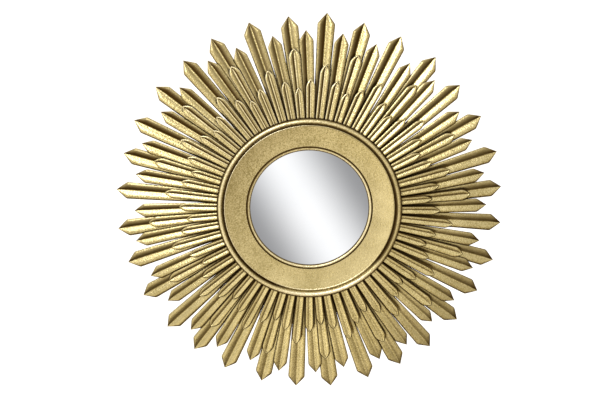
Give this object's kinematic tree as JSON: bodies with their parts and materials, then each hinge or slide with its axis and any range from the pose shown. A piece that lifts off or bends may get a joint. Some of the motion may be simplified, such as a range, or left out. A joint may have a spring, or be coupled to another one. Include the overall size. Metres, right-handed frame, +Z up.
{
  "type": "sunburst wall mirror",
  "caption": "Round wall mirror in a dished gold ring, with layered pointed rays that spread around it like a sunburst.",
  "frame": {"origin": "the middle of the backing board's flat back, on the wall plane", "axes": "+Z up, the mirror faces -Y, +Y goes into the wall, +X to the right of someone who looks at the mirror"},
  "size_m": [0.5972, 0.0292, 0.5998],
  "materials": {
    "gold_rays": "moulded resin in satin metallic gold paint with a fine sandy grain, darker in the grooves",
    "gold_ring": "moulded resin in satin metallic gold paint, sandy on the dish and smoother on the rim and bead",
    "mirror_silver": "clear float glass, silvered behind",
    "backing_board": "fibreboard in matt black paint",
    "hanger_steel": "plain zinc-plated strip"
  },
  "bodies": {
    "root": {"backing_board": "backing_board", "dished_ring": "gold_ring", "front_rays": "gold_rays", "long_ray_01": "gold_rays", "long_ray_02": "gold_rays", "long_ray_03": "gold_rays", "long_ray_04": "gold_rays", "long_ray_05": "gold_rays", "long_ray_06": "gold_rays", "long_ray_07": "gold_rays", "long_ray_08": "gold_rays", "long_ray_09": "gold_rays", "long_ray_10": "gold_rays", "long_ray_11": "gold_rays", "long_ray_12": "gold_rays", "long_ray_13": "gold_rays", "long_ray_14": "gold_rays", "long_ray_15": "gold_rays", "long_ray_16": "gold_rays", "long_ray_17": "gold_rays", "long_ray_18": "gold_rays", "long_ray_19": "gold_rays", "long_ray_20": "gold_rays", "long_ray_21": "gold_rays", "long_ray_22": "gold_rays", "long_ray_23": "gold_rays", "long_ray_24": "gold_rays", "long_ray_25": "gold_rays", "long_ray_26": "gold_rays", "long_ray_27": "gold_rays", "long_ray_28": "gold_rays", "long_ray_29": "gold_rays", "long_ray_30": "gold_rays", "long_ray_31": "gold_rays", "long_ray_32": "gold_rays", "medium_rays": "gold_rays", "middle_ray_01": "gold_rays", "middle_ray_02": "gold_rays", "middle_ray_03": "gold_rays", "middle_ray_04": "gold_rays", "middle_ray_05": "gold_rays", "middle_ray_06": "gold_rays", "middle_ray_07": "gold_rays", "middle_ray_08": "gold_rays", "middle_ray_09": "gold_rays", "middle_ray_10": "gold_rays", "middle_ray_11": "gold_rays", "middle_ray_12": "gold_rays", "middle_ray_13": "gold_rays", "middle_ray_14": "gold_rays", "middle_ray_15": "gold_rays", "middle_ray_16": "gold_rays", "mirror_glass": "mirror_silver", "sawtooth_hanger": "hanger_steel"}
  },
  "joints": []
}
